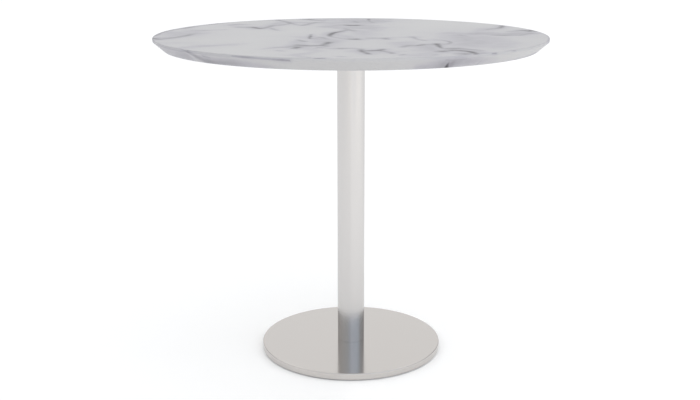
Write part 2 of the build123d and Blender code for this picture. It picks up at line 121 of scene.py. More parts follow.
def set_stops(node, stops):
    """Gives a Color Ramp node its stops of (position, (r, g, b))."""
    line = node.color_ramp.elements
    while len(line) < len(stops):
        line.new(0.5)
    for element, (position, tint) in zip(line, stops):
        element.position = position
        element.color = (*tint, 1.0)


# ---- the turning tree ----------------------------------------------------------------------
def turning_tree():
    """Turns a half outline round the Z axis and sets copies of the piece out on circles.

    The outline's points lie in order in the XZ plane. Their "thread" says how deep a thread is
    cut there, and their "flats" turns the circle into a hexagon as wide across its flats.
    """
    inputs = (
        ("Outline", "Geometry"),
        ("Segments", "Int"),
        ("Pitch", "Float"),
        ("Count", "Int"),
        ("Rows", "Int"),
        ("Circle", "Float"),
        ("Row Step", "Float"),
        ("Start Angle", "Float"),
        ("Turn Spread", "Float"),
        ("Turn Seed", "Int"),
        ("Finish", "Material"),
    )
    tree, given = new_tree("turned_piece", "GeometryNodeTree", inputs, ("Piece", "Geometry"))
    calc = partial(maths, tree)
    outline = given["Outline"]
    index = put(tree, "GeometryNodeInputIndex").outputs[0]

    def whole_times(count):
        """How many whole times a count goes into the index. Half a step in keeps it exact."""
        middle = calc("ADD", index, 0.5)
        return calc("FLOOR", calc("DIVIDE", middle, count))

    def polar(radius, angle, height=0.0):
        """A place, from its distance and direction from the axis and its height."""
        x = calc("MULTIPLY", radius, calc("COSINE", angle))
        y = calc("MULTIPLY", radius, calc("SINE", angle))
        return put(tree, "ShaderNodeCombineXYZ", x, y, height).outputs[0]

    # The grid has a line of points for each step round, and each line follows the outline.
    size = put(tree, "GeometryNodeAttributeDomainSize", outline, component="MESH")
    points = size.outputs["Point Count"]
    line_count = calc("ADD", given["Segments"], 1.0)
    grid = put(tree, "GeometryNodeMeshGrid", 1.0, 1.0, line_count, points)
    line = whole_times(points)
    place = calc("SUBTRACT", index, calc("MULTIPLY", line, points))
    angle = calc("MULTIPLY", line, calc("DIVIDE", TAU, given["Segments"]))

    def sampled(kind, value):
        """A value at the grid point's own place on the outline."""
        named = {"Geometry": outline, "Value": value, "Index": place}
        node = put(tree, "GeometryNodeSampleIndex", data_type=kind, domain="POINT", named=named)
        return node.outputs[0]

    def stored(name):
        """One of the outline's own numbers."""
        node = put(tree, "GeometryNodeInputNamedAttribute", name, data_type="FLOAT")
        return sampled("FLOAT", node.outputs[0])

    spot = sampled("FLOAT_VECTOR", put(tree, "GeometryNodeInputPosition").outputs[0])
    smooth_radius, _, height = put(tree, "ShaderNodeSeparateXYZ", spot).outputs
    turns = calc("DIVIDE", angle, TAU)
    phase = calc("SUBTRACT", calc("DIVIDE", height, given["Pitch"]), turns)
    saw = calc("FRACT", phase)
    tooth = calc("ABSOLUTE", calc("MULTIPLY_ADD", saw, 2.0, -1.0))
    cut = calc("MULTIPLY", tooth, stored("thread"))
    corner = calc("SUBTRACT", calc("MODULO", angle, TAU / 6), TAU / 12)
    secant = calc("DIVIDE", 1.0, calc("COSINE", corner))
    stretch = calc("SUBTRACT", secant, 1.0)
    flats = calc("MULTIPLY_ADD", stretch, stored("flats"), 1.0)
    radius = calc("MULTIPLY", calc("SUBTRACT", smooth_radius, cut), flats)
    shape = {"Geometry": grid.outputs[0], "Position": polar(radius, angle, height)}
    moved = put(tree, "GeometryNodeSetPosition", named=shape)
    seam = {"Geometry": moved.outputs[0], "Distance": MERGE_DISTANCE}
    closed = put(tree, "GeometryNodeMergeByDistance", named=seam)

    # The copies stand on circles round the axis, one circle for each row.
    total = calc("MULTIPLY", given["Count"], given["Rows"])
    step = calc("DIVIDE", TAU, given["Count"])
    bearing = calc("MULTIPLY_ADD", index, step, given["Start Angle"])
    row = whole_times(given["Count"])
    reach = calc("MULTIPLY_ADD", row, given["Row Step"], given["Circle"])
    places = {"Count": total, "Position": polar(reach, bearing)}
    stands = put(tree, "GeometryNodePoints", named=places).outputs[0]
    draw = {2: 0.0, 3: given["Turn Spread"], "ID": index, "Seed": given["Turn Seed"]}
    loose = put(tree, "FunctionNodeRandomValue", data_type="FLOAT", named=draw).outputs[1]
    spin = put(tree, "ShaderNodeCombineXYZ", 0.0, 0.0, loose).outputs[0]
    standing = {"Points": stands, "Instance": closed.outputs[0], "Rotation": spin}
    copies = put(tree, "GeometryNodeInstanceOnPoints", named=standing)
    real = put(tree, "GeometryNodeRealizeInstances", copies.outputs[0])
    paint = {"Geometry": real.outputs[0], "Material": given["Finish"]}
    painted = put(tree, "GeometryNodeSetMaterial", named=paint)
    put(tree, "NodeGroupOutput", painted.outputs[0])
    return tree


TURNING = turning_tree()
SOCKETS = {item.name: item.identifier for item in TURNING.interface.items_tree}


def rounded(corners):
    """Outline points from corners (r, z) or (r, z, round), in millimetres, with true arcs."""
    path = []
    for number, corner in enumerate(corners):
        r, z = corner[:2]
        if len(corner) == 2:
            path.append((r, z))
            continue
        blend = corner[2]
        before, after = corners[number - 1], corners[(number + 1) % len(corners)]
        sides = []
        for other in (before, after):
            away = (other[0] - r, other[1] - z)
            length = math.hypot(*away)
            sides.append((away[0] / length, away[1] / length))
        (ax, az), (bx, bz) = sides
        half = math.acos(max(-1.0, min(1.0, ax * bx + az * bz))) / 2
        setback = blend / math.tan(half)
        hub = blend / math.sin(half)
        mx, mz = ax + bx, az + bz
        scale = hub / math.hypot(mx, mz)
        cx, cz = r + mx * scale, z + mz * scale
        start = math.atan2(z + az * setback - cz, r + ax * setback - cx)
        end = math.atan2(z + bz * setback - cz, r + bx * setback - cx)
        sweep = (end - start + math.pi) % TAU - math.pi
        guard = setback * ARC_GUARD
        path.append((r + ax * guard, z + az * guard))
        for step in range(ROUND_STEPS + 1):
            turn = start + sweep * step / ROUND_STEPS
            path.append((cx + blend * math.cos(turn), cz + blend * math.sin(turn)))
        path.append((r + bx * guard, z + bz * guard))
    return [(r, z, 0.0, 0.0) for r, z in path]


def hexagon(corners):
    """The same, with flats: r is half the width across the flats."""
    return [(r, z, 0.0, 1.0) for r, z, _, _ in rounded(corners)]


def threaded(radius, start, end, pitch, depth):
    """Outline points of a thread cut from start to end, fading over its first and last turn."""
    steps = max(2, round(abs(end - start) / pitch * THREAD_STEPS))
    points = []
    for step in range(steps + 1):
        z = start + (end - start) * step / steps
        fade = min(1.0, abs(z - start) / pitch, abs(end - z) / pitch)
        points.append((radius, z, depth * fade, 0.0))
    return points


def turn(name, outline, finish, segments=SMALL, pitch=1.0, count=1, rows=1, circle=0.0,
         row_step=0.0, start=0.0, spread=0.0, seed=0):
    """A plain mesh of the turned outline, set out as asked. Sizes are in millimetres."""
    path = bpy.data.meshes.new(name + "_outline")
    edges = [(number, number + 1) for number in range(len(outline) - 1)]
    path.from_pydata([(r * MM, 0.0, z * MM) for r, z, _, _ in outline], edges, [])
    for attribute, column, scale in (("thread", 2, MM), ("flats", 3, 1.0)):
        layer = path.attributes.new(attribute, "FLOAT", "POINT")
        layer.data.foreach_set("value", [point[column] * scale for point in outline])
    maker = bpy.data.objects.new(name + "_maker", path)
    bpy.context.scene.collection.objects.link(maker)
    modifier = maker.modifiers.new("turned_piece", "NODES")
    modifier.node_group = TURNING
    for label, value in (
        ("Segments", segments),
        ("Pitch", pitch * MM),
        ("Count", count),
        ("Rows", rows),
        ("Circle", circle * MM),
        ("Row Step", row_step * MM),
        ("Start Angle", math.radians(start)),
        ("Turn Spread", spread),
        ("Turn Seed", seed),
        ("Finish", finish),
    ):
        modifier[SOCKETS[label]] = value
    graph = bpy.context.evaluated_depsgraph_get()
    mesh = bpy.data.meshes.new_from_object(maker.evaluated_get(graph), depsgraph=graph)
    bpy.data.objects.remove(maker)
    bpy.data.meshes.remove(path)
    mesh.name = name
    mesh.polygons.foreach_set("use_smooth", [True] * len(mesh.polygons))
    mesh.set_sharp_from_angle(angle=SHARP_ANGLE)
    piece = bpy.data.objects.new(name, mesh)
    bpy.context.scene.collection.objects.link(piece)
    return piece


def fit(name, outline, body, slot, *nodes, **layout):
    """Turns a piece that moves with the body, has the slot's finish and stands for the nodes."""
    piece = turn(name, outline, FINISHES[slot], **layout)
    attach(piece, body)
    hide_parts(*nodes)


# ---- finishes ------------------------------------------------------------------------------
# Noise and the distance to a cell's point seldom leave these ranges.
NOISE_RANGE, CELL_RANGE = (0.3, 0.7), (0.0, 0.8)


class Finish:
    """A material on Object coordinates, with its shader and the nodes that feed it."""

    def __init__(self, name, **constants):
        self.material = bpy.data.materials.new(name)
        self.material.use_nodes = True
        self.tree = self.material.node_tree
        self.tree.nodes.clear()
        self.shader = put(self.tree, "ShaderNodeBsdfPrincipled")
        self.end = put(self.tree, "ShaderNodeOutputMaterial", self.shader.outputs[0])
        self.where = put(self.tree, "ShaderNodeTexCoord").outputs["Object"]
        feed(self.tree, self.shader, {k.replace("_", " "): v for k, v in constants.items()})

    def noise(self, scale, detail=3.0, rough=0.55, distort=0.0):
        """Noise from 0 to 1, about 0.5. Scale is a number or three, in cells per metre."""
        place, cells = self.where, scale
        if isinstance(scale, tuple):
            place, cells = vectors(self.tree, "MULTIPLY", self.where, scale), 1.0
        named = {"Vector": place, "Scale": cells, "Detail": detail, "Roughness": rough}
        named["Distortion"] = distort
        return put(self.tree, "ShaderNodeTexNoise", named=named).outputs[0]

    def cells(self, scale):
        """Distance to the nearest cell point, in cell widths."""
        named = {"Vector": self.where, "Scale": scale}
        return put(self.tree, "ShaderNodeTexVoronoi", named=named).outputs["Distance"]

    def between(self, value, low, high, start=0.0, end=1.0, smooth=False):
        """A value's place between low and high, as a number from start to end."""
        limits = (value, low, high, start, end)
        kind = "SMOOTHSTEP" if smooth else "LINEAR"
        return put(self.tree, "ShaderNodeMapRange", *limits, interpolation_type=kind).outputs[0]

    def blend(self, share, first, second):
        """A colour between two."""
        named = {0: share, 6: first, 7: second}
        return put(self.tree, "ShaderNodeMix", data_type="RGBA", named=named).outputs[2]

    def blend_value(self, share, first, second):
        """A number between two."""
        named = {0: share, 2: first, 3: second}
        return put(self.tree, "ShaderNodeMix", data_type="FLOAT", named=named).outputs[0]

    def ramp(self, share, stops):
        """A colour read from stops of (position, (r, g, b))."""
        node = put(self.tree, "ShaderNodeValToRGB", share)
        set_stops(node, stops)
        return node.outputs[0]

    def colour(self, source):
        feed(self.tree, self.shader, {"Base Color": source})

    def rough(self, source):
        feed(self.tree, self.shader, {"Roughness": source})

    def bump(self, *layers):
        """Stacks bump layers of (height, depth in microns)."""
        normal = None
        for height, depth in layers:
            named = {"Distance": depth * MICRON, "Height": height, "Normal": normal}
            normal = put(self.tree, "ShaderNodeBump", 1.0, named=named).outputs[0]
        feed(self.tree, self.shader, {"Normal": normal})


def rgb(red, green, blue):
    return (red, green, blue, 1.0)


# ---- marble print --------------------------------------------------------------------------
# Round each stretch of a vein or cloud lies a faint halo, this much wider and this much paler.
HALO_WIDTH, HALO_DARK = 2.6, 0.30


def vein_stretch():
    """Shader group: how dark a point is from one straight stretch of a vein or cloud.

    Every node comes after the ones that feed it, and none clamps. The group is used hundreds of
    times in one shader, and this keeps what each use holds in memory small.
    """
    inputs = (
        ("Place", "Vector"),
        ("Start", "Vector"),
        ("Run", "Vector"),
        ("Start Width", "Float"),
        ("End Width", "Float"),
        ("Start Dark", "Float"),
        ("End Dark", "Float"),
        ("So Far", "Float"),
    )
    tree, given = new_tree("vein_stretch", "ShaderNodeTree", inputs, ("Dark", "Float"))
    calc = partial(maths, tree)
    offset = vectors(tree, "SUBTRACT", given["Place"], given["Start"])
    dot = vectors(tree, "DOT_PRODUCT", offset, given["Run"], result="Value")
    length = vectors(tree, "DOT_PRODUCT", given["Run"], given["Run"], result="Value")
    share = calc("MAXIMUM", calc("DIVIDE", dot, length), 0.0)
    along = calc("MINIMUM", share, 1.0)
    shift = {"Scale": along}
    nearest = put(tree, "ShaderNodeVectorMath", given["Run"], operation="SCALE", named=shift)
    away = vectors(tree, "DISTANCE", offset, nearest.outputs[0], result="Value")

    def eased(first, second):
        """A number that changes evenly along the stretch."""
        named = {0: along, 3: given[first], 4: given[second]}
        return put(tree, "ShaderNodeMapRange", clamp=False, named=named).outputs[0]

    def fading(reach, most):
        """Darkness that falls off softly to nothing at the reach."""
        limits, kind = (away, 0.0, reach, most, 0.0), "SMOOTHSTEP"
        node = put(tree, "ShaderNodeMapRange", *limits, interpolation_type=kind, clamp=False)
        return node.outputs[0]

    width = eased("Start Width", "End Width")
    dark = eased("Start Dark", "End Dark")
    core = fading(width, dark)
    halo_width = calc("MULTIPLY", width, HALO_WIDTH)
    halo_dark = calc("MULTIPLY", dark, HALO_DARK)
    halo = fading(halo_width, halo_dark)
    soft = calc("MAXIMUM", core, halo)
    put(tree, "NodeGroupOutput", calc("MAXIMUM", soft, given["So Far"]))
    return tree


STRETCH = vein_stretch()


def drawn(finish, place, lines, wide=1.0):
    """Draws lines of (x, y, half width, darkness) points, in millimetres and percent."""
    so_far = 0.0
    for line in lines:
        for start, end in zip(line, line[1:]):
            named = {
                "Place": place,
                "Start": (start[0] * MM, start[1] * MM, 0.0),
                "Run": ((end[0] - start[0]) * MM, (end[1] - start[1]) * MM, 0.0),
                "Start Width": start[2] * wide * MM,
                "End Width": end[2] * wide * MM,
                "Start Dark": start[3] / 100,
                "End Dark": end[3] / 100,
                "So Far": so_far,
            }
            node = put(finish.tree, "ShaderNodeGroup", node_tree=STRETCH, named=named)
            so_far = node.outputs[0]
    return so_far


# Soft grey-violet clouds on the flat: lines of (x, y, half width, darkness), in millimetres
# and percent. +Y is the far side.
CLOUDS = (
    ((-90, 385, 70, 30), (0, 370, 80, 42), (70, 375, 60, 42), (50, 300, 60, 34)),
    ((50, 300, 60, 30), (15, 230, 60, 30), (45, 215, 55, 32), (45, 110, 60, 34)),
    ((-15, 110, 40, 40), (20, 80, 60, 36), (40, 10, 70, 24), (20, -60, 60, 22)),
    ((-45, 330, 60, 26), (-50, 240, 60, 22), (-30, 150, 40, 30)),
    ((-150, 310, 50, 30), (-60, 290, 60, 36), (30, 330, 70, 46), (95, 350, 50, 38)),
    ((-60, 190, 50, 36), (0, 190, 55, 40), (65, 165, 50, 38)),
    ((-165, 330, 50, 28), (-195, 240, 60, 30), (-225, 160, 50, 26), (-290, 220, 50, 20)),
    ((-420, 40, 70, 30), (-385, 0, 80, 32), (-355, 30, 60, 26), (-390, 110, 50, 22)),
    ((-435, -80, 50, 40), (-395, -60, 45, 34)),
    ((-345, -285, 35, 26), (-315, -240, 40, 30), (-275, -215, 35, 34),
     (-235, -200, 30, 14)),
    ((-395, -190, 60, 14), (-350, -180, 60, 12)),
    ((240, 20, 70, 36), (305, 20, 90, 48), (360, 0, 75, 44), (415, 40, 60, 42)),
    ((310, 90, 50, 34), (350, 150, 50, 22)),
    ((250, -40, 90, 36), (265, -130, 100, 36), (255, -220, 100, 36), (300, -80, 90, 34)),
    ((300, -80, 90, 34), (320, -180, 80, 30), (310, -250, 70, 28), (190, -120, 70, 26)),
    ((110, -180, 70, 30), (150, -260, 70, 40), (170, -350, 80, 34), (130, -400, 60, 26)),
    ((215, -300, 60, 50), (240, -360, 60, 46), (275, -390, 50, 36)),
    ((-120, -60, 45, 26), (-80, -60, 60, 34), (-45, -130, 60, 36), (-55, -220, 60, 34)),
    ((-110, -150, 50, 32), (-115, -230, 45, 34), (-70, -340, 35, 22),
     (-105, -400, 25, 28)),
    ((-20, -30, 50, 28), (20, -95, 40, 30), (70, -80, 40, 26)),
    ((10, -330, 40, 22), (55, -340, 60, 28), (90, -330, 50, 24)),
)

# Darker veins on the flat.
VEINS = (
    ((-447, -105, 14, 70), (-436, -92, 16, 95), (-420, -108, 14, 65), (-392, -66, 14, 62)),
    ((-392, -66, 13, 55), (-374, -30, 15, 66), (-366, 12, 13, 50), (-338, 32, 14, 25)),
    ((-447, -30, 7, 80), (-443, 30, 6, 60), (-435, 95, 8, 85), (-420, 130, 6, 50)),
    ((-420, 130, 6, 50), (-402, 166, 9, 90), (-375, 222, 6, 40), (-341, 286, 8, 85)),
    ((-341, 286, 7, 60), (-300, 330, 6, 35), (-240, 372, 6, 30), (-196, 388, 9, 80)),
    ((-376, 92, 13, 30), (-352, 96, 14, 50), (-330, 108, 12, 30), (-306, 122, 12, 30)),
    ((-303, 240, 15, 60), (-286, 256, 12, 65), (-262, 246, 12, 35), (-240, 240, 10, 20)),
    ((-282, 182, 14, 45), (-262, 176, 13, 55), (-244, 178, 15, 100), (-222, 146, 15, 95)),
    ((-222, 146, 14, 95), (-210, 168, 12, 60), (-198, 222, 13, 60), (-178, 236, 13, 70)),
    ((-178, 236, 12, 60), (-164, 262, 11, 50), (-156, 294, 12, 75), (-172, 334, 12, 60)),
    ((-172, 334, 12, 50), (-196, 380, 10, 80)),
    ((-194, 150, 12, 60), (-180, 114, 11, 45), (-168, 88, 9, 20)),
    ((-156, 290, 11, 60), (-138, 254, 12, 45), (-120, 232, 13, 75), (-104, 272, 12, 60)),
    ((-104, 272, 12, 55), (-88, 312, 12, 70), (-74, 326, 10, 40)),
    ((-130, 402, 9, 70), (-114, 406, 13, 100), (-96, 384, 12, 70), (-70, 362, 11, 50)),
    ((-40, 232, 13, 45), (-18, 240, 14, 80), (-6, 230, 16, 115), (14, 226, 16, 115)),
    ((14, 226, 13, 70), (34, 216, 12, 42), (66, 220, 12, 36)),
    ((-38, 158, 11, 35), (-14, 152, 12, 40), (-6, 112, 14, 50), (8, 82, 14, 50)),
    ((-14, 158, 11, 45), (24, 152, 12, 50), (66, 158, 11, 35)),
    ((-6, 112, 13, 45), (-22, 76, 12, 65), (-34, 54, 13, 110), (-42, 24, 12, 120)),
    ((-42, 24, 12, 120), (-47, -2, 12, 120), (-51, -26, 10, 100), (-46, -46, 9, 60)),
    ((-46, -46, 9, 50), (-32, -66, 10, 45), (-16, -88, 11, 45), (-2, -102, 13, 90)),
    ((-2, -102, 12, 95), (13, -103, 14, 110), (24, -112, 9, 40)),
    ((-94, 8, 6, 60), (-93, -44, 7, 90), (-91, -94, 6, 80), (-76, -78, 12, 40)),
    ((-76, -78, 12, 35), (-66, -58, 12, 50), (-52, -98, 10, 45), (-44, -120, 8, 20)),
    ((-119, -116, 10, 35), (-110, -134, 12, 60), (-101, -150, 11, 65), (-92, -160, 8, 20)),
    ((-126, -226, 12, 35), (-114, -220, 14, 85), (-88, -234, 13, 95), (-62, -228, 13, 85)),
    ((-62, -228, 13, 60), (-57, -202, 14, 70), (-48, -168, 14, 100), (-36, -160, 9, 40)),
    ((-57, -202, 13, 50), (-54, -250, 12, 45), (-66, -262, 10, 50), (-76, -282, 8, 30)),
    ((-116, -282, 13, 80), (-110, -262, 13, 100), (-98, -246, 10, 50)),
    ((-178, -292, 12, 22), (-152, -262, 13, 42), (-132, -262, 12, 45),
     (-112, -240, 12, 60)),
    ((-146, -318, 14, 32), (-136, -330, 12, 25)),
    ((-60, -276, 11, 35), (-36, -280, 12, 45), (-23, -284, 14, 75), (-2, -280, 12, 50)),
    ((-2, -280, 12, 45), (10, -290, 11, 40), (20, -300, 12, 70), (23, -342, 11, 95)),
    ((23, -342, 11, 90), (33, -374, 11, 85), (40, -384, 8, 30)),
    ((28, -326, 11, 80), (44, -324, 14, 90), (56, -320, 14, 95), (66, -304, 11, 90)),
    ((60, -324, 11, 80), (70, -338, 10, 55), (82, -366, 10, 60)),
    ((38, -80, 12, 50), (56, -80, 12, 50), (72, -82, 13, 60), (80, -104, 13, 65)),
    ((72, -78, 11, 40), (100, -66, 11, 25), (128, -64, 12, 35), (136, -58, 13, 70)),
    ((136, -58, 10, 50), (146, -104, 9, 40), (158, -124, 10, 60), (166, -134, 7, 25)),
    ((104, -258, 12, 50), (120, -234, 13, 65), (137, -232, 13, 70), (153, -208, 13, 80)),
    ((153, -208, 12, 70), (170, -212, 12, 65), (180, -208, 14, 100), (180, -196, 14, 100)),
    ((180, -208, 12, 100), (182, -246, 9, 100), (187, -282, 8, 50)),
    ((186, -116, 11, 35), (198, -122, 10, 40), (213, -150, 8, 55), (212, -176, 8, 65)),
    ((192, -204, 11, 50), (203, -198, 11, 55), (212, -176, 8, 50)),
    ((170, -338, 13, 50), (182, -336, 17, 85), (196, -326, 15, 70), (210, -314, 13, 85)),
    ((194, -288, 14, 65), (214, -282, 14, 75), (234, -290, 12, 55), (262, -318, 12, 40)),
    ((210, -314, 13, 90), (227, -326, 14, 100), (239, -344, 13, 100), (245, -378, 11, 75)),
    ((245, -378, 10, 70), (247, -404, 9, 65), (240, -424, 9, 40)),
    ((204, -378, 11, 50), (222, -380, 12, 95), (232, -376, 9, 70)),
    ((266, -388, 11, 45), (280, -374, 13, 80), (288, -360, 9, 40)),
    ((318, -334, 11, 35), (329, -324, 12, 70), (344, -312, 9, 40)),
    ((98, -398, 9, 30), (103, -386, 10, 55)),
    ((156, -398, 9, 30), (164, -392, 10, 50)),
    ((316, -6, 13, 35), (334, -16, 14, 60), (350, -20, 14, 70), (370, -16, 13, 55)),
    ((370, -16, 13, 50), (388, -18, 13, 55), (402, 2, 12, 40), (424, 34, 14, 45)),
    ((226, -14, 12, 25), (250, -10, 15, 50), (262, -34, 12, 35)),
    ((372, 68, 12, 35), (392, 82, 12, 50), (414, 98, 13, 95), (424, 80, 13, 100)),
    ((424, 80, 12, 90), (431, 104, 9, 100), (440, 74, 10, 80)),
    ((328, 122, 12, 50), (346, 140, 12, 65), (362, 152, 12, 70), (377, 196, 13, 95)),
    ((377, 196, 12, 90), (378, 228, 10, 70)),
    ((46, 424, 5, 60), (48, 398, 8, 100), (48, 362, 7, 45), (60, 306, 12, 45)),
    ((8, 350, 12, 45), (14, 328, 14, 60), (20, 306, 10, 40)),
    ((-70, 398, 9, 40), (0, 400, 9, 45), (60, 400, 9, 50), (108, 400, 9, 40)),
    ((-100, -418, 8, 40), (-80, -430, 8, 40)),
    ((-66, -440, 6, 60), (-52, -440, 7, 70)),
    ((-24, -416, 8, 30), (-12, -422, 7, 35)),
)

# On the edge: (degrees round from the front, millimetres above the bevel's head, ...).
RIM_CLOUDS = (
    ((-66, -9, 24, 32), (-58, -10, 26, 36), (-49, -10, 24, 46)),
    ((-47, 2, 9, 60), (-45, -6, 14, 76), (-42, -17, 18, 98), (-38, -16, 17, 66)),
    ((-38, -13, 17, 58), (-33, -13, 16, 50), (-28, -14, 16, 34), (-20, -18, 14, 12)),
    ((17, -17, 16, 24), (21, -13, 20, 36), (24, -12, 22, 76), (26.5, -11, 22, 80)),
    ((26.5, -10, 22, 66), (30, -9, 18, 38), (36, -10, 16, 28), (41, -14, 16, 14)),
    ((96, -10, 50, 35), (120, -6, 60, 20)),
    ((160, -8, 60, 40), (176, -10, 50, 25)),
    ((-150, -12, 50, 35), (-128, -6, 60, 25)),
    ((-96, -10, 40, 32), (-84, -8, 30, 25)),
)
RIM_VEINS = (
    ((-31, 3.0, 3.0, 30), (-28, 2.6, 4.4, 52), (-24, 2.0, 3.4, 36), (-20, 1.4, 3.4, 38)),
    ((-20, 1.4, 3.4, 38), (-17, 0.8, 4.6, 54), (-15.2, 0.2, 3.8, 50)),
    ((-50, 4.5, 3, 30), (-48, 3.0, 4, 45), (-46, 0.0, 5, 40), (-44, -8.0, 8, 30)),
    ((-44, -8.0, 8, 34), (-42, -18.0, 11, 50), (-38, -21.0, 8, 30)),
    ((-41.5, -4.0, 5, 40), (-39, -5.5, 5, 36)),
    ((23.8, -2.0, 5, 30), (26, -4.0, 6, 34), (30, -2.0, 5, 28)),
    ((25.2, -6.0, 6, 35), (25.4, -12.0, 8, 75), (25.6, -21.0, 12, 140)),
    ((35.8, -10.0, 3, 25), (35.4, -21.0, 4, 42)),
    ((38.4, 5.0, 4, 50), (39.6, 4.0, 4, 50)),
    ((46.4, 5.0, 3, 40), (47.6, 4.0, 3, 30)),
    ((58, -20.0, 5, 40), (63, -18.0, 5, 55), (67, -14.0, 5, 40)),
    ((-86, 3.0, 5, 40), (-80, 4.0, 6, 70), (-74, 2.0, 4, 35)),
    ((42, -20.0, 2, 20), (52, -20.0, 3, 42), (66, -20.0, 3, 45), (76, -20.0, 3, 40)),
    ((-76, -20.0, 3, 42), (-66, -20.0, 3, 40), (-56, -20.0, 2, 25)),
    ((104, 2, 6, 50), (98, -20, 12, 70)),
    ((158, 4, 7, 40), (166, -20, 14, 80)),
    ((-142, 4, 8, 50), (-150, -20, 12, 75)),
    ((-92, 4, 8, 40), (-96, -18, 9, 60)),
)

# The edge's print is laid round the bevel at this radius, from the front. Where a vein runs from
# the flat on to the edge, one print gives way to the other between these heights.
FRONT = -math.pi / 2
EDGE_RADIUS = 440.0
FLAT_ENDS_Z, EDGE_STARTS_Z = TOP_Z - 0.5, TOP_Z - 1.5
VEIN_WIDENING = 1.3

# At either side, from SIDE_FROM to SIDE_TO, painted shade darkens the print along the outer rim,
# where the rounded edge turns away at the left and right ends.
SIDE_FROM, SIDE_TO = 415.0, 440.0
EDGE_SHADE_FROM, EDGE_SHADE_TO, EDGE_SHADE_DARK = 444.5, 448.0, 0.5

# The print's colour, from bare white to the darkest vein.
DARKEST = 1.5
MARBLE_TONES = (
    (0.0, (0.500, 0.497, 0.502)),
    (0.25, (0.424, 0.417, 0.446)),
    (0.5, (0.350, 0.343, 0.373)),
    (0.8, (0.270, 0.265, 0.288)),
    (1.0, (0.190, 0.186, 0.203)),
    (DARKEST, (0.030, 0.028, 0.034)),
)


def marble_laminate():
    """Satin print of white marble: cool white, grey-violet clouds, dark broken veins."""
    finish = Finish("marble_laminate", Specular_IOR_Level=0.2)
    tree = finish.tree
    calc = partial(maths, tree)
    x, y, z = put(tree, "ShaderNodeSeparateXYZ", finish.where).outputs
    flat = put(tree, "ShaderNodeCombineXYZ", x, y).outputs[0]

    def wander(scale, x_range, y_range, detail=3.0):
        """A shift that strays within ranges, in millimetres, at a scale in cells per metre."""
        named = {"Vector": finish.where, "Scale": scale, "Detail": detail}
        colour = put(tree, "ShaderNodeTexNoise", named=named).outputs[1]
        centred = vectors(tree, "SUBTRACT", colour, (0.5, 0.5, 0.5))
        return vectors(tree, "MULTIPLY", centred, (x_range * MM, y_range * MM, 0.0))

    def strayed(place, *shifts):
        """The place, moved by each shift."""
        for shift in shifts:
            place = vectors(tree, "ADD", place, shift)
        return place

    drift = wander(9.0, 14.0, 24.0, detail=2.0)
    ripple = wander(42.0, 6.0, 11.0)
    feather = wander(190.0, 4.0, 5.5)
    vein_place = strayed(flat, drift, ripple, feather)
    cloud_place = strayed(flat, wander(14.0, 60.0, 80.0, detail=4.0))

    # The edge has its own run of the print: along the rim, and up and down the bevel.
    bearing = calc("ARCTAN2", y, x)
    turned = calc("SUBTRACT", bearing, FRONT + TAU)
    round_edge = calc("WRAP", turned, math.pi, -math.pi)
    along = calc("MULTIPLY", round_edge, EDGE_RADIUS * MM)
    height = calc("SUBTRACT", z, LIP_Z * MM)
    edge = put(tree, "ShaderNodeCombineXYZ", along, height).outputs[0]
    edge_place = strayed(edge, wander(26.0, 10.0, 3.0))

    def round_rim(lines):
        """The lines with their degrees turned into millimetres along the rim."""
        per_degree = math.radians(EDGE_RADIUS)
        return tuple(tuple((p[0] * per_degree, *p[1:]) for p in line) for line in lines)

    on_edge = finish.between(z, FLAT_ENDS_Z * MM, EDGE_STARTS_Z * MM)
    cloud_flat = drawn(finish, cloud_place, CLOUDS)
    cloud_edge = drawn(finish, edge_place, round_rim(RIM_CLOUDS))
    cloud = finish.blend_value(on_edge, cloud_flat, cloud_edge)
    vein_flat = drawn(finish, vein_place, VEINS, wide=VEIN_WIDENING)
    vein_edge = drawn(finish, edge_place, round_rim(RIM_VEINS))
    vein = finish.blend_value(on_edge, vein_flat, vein_edge)

    mottle = finish.noise(14.0, detail=6.0, rough=0.62, distort=0.6)
    patchy = finish.between(mottle, 0.32, 0.68, start=0.72, end=1.32)
    cloudy = calc("MULTIPLY", cloud, patchy)
    grit = finish.noise(30.0, detail=4.0, rough=0.6)
    broken = finish.between(grit, 0.3, 0.62, start=0.92, end=1.28)
    veined = calc("MULTIPLY", vein, broken)

    # Hair veins run through the clouds and fade out on the white.
    hair_source = finish.noise(11.0, detail=5.0, rough=0.6, distort=1.1)
    ridge = calc("ABSOLUTE", calc("SUBTRACT", hair_source, 0.5))
    hair = finish.between(ridge, 0.0, 0.014, start=1.0, end=0.0)
    hair_room = finish.between(cloudy, 0.02, 0.35, start=0.06, end=0.30)
    haired = calc("MULTIPLY", hair, hair_room)

    out = vectors(tree, "LENGTH", flat, result="Value")
    # Painted shade: the outermost rim darkens at the left and right ends of the top.
    at_side = finish.between(calc("ABSOLUTE", x), SIDE_FROM * MM, SIDE_TO * MM)
    edge_shade_band = finish.between(out, EDGE_SHADE_FROM * MM, EDGE_SHADE_TO * MM, end=EDGE_SHADE_DARK)
    painted_edge_shade = calc("MULTIPLY", edge_shade_band, at_side)
    dark = calc("MAXIMUM", calc("MAXIMUM", veined, haired), painted_edge_shade)

    # A vein inside a cloud is darker than either, by this share of the cloud.
    cloud_under_vein = 0.35
    both = calc("MULTIPLY_ADD", cloudy, cloud_under_vein, dark)
    total = calc("MAXIMUM", both, cloudy)
    share = calc("MULTIPLY", total, 1 / DARKEST)
    finish.colour(finish.ramp(share, [(dark / DARKEST, tint) for dark, tint in MARBLE_TONES]))
    grain = finish.noise(900.0, detail=2.0, rough=0.5)
    finish.rough(finish.between(grain, *NOISE_RANGE, start=0.36, end=0.44))
    finish.bump((grain, 12.0))
    return finish.material


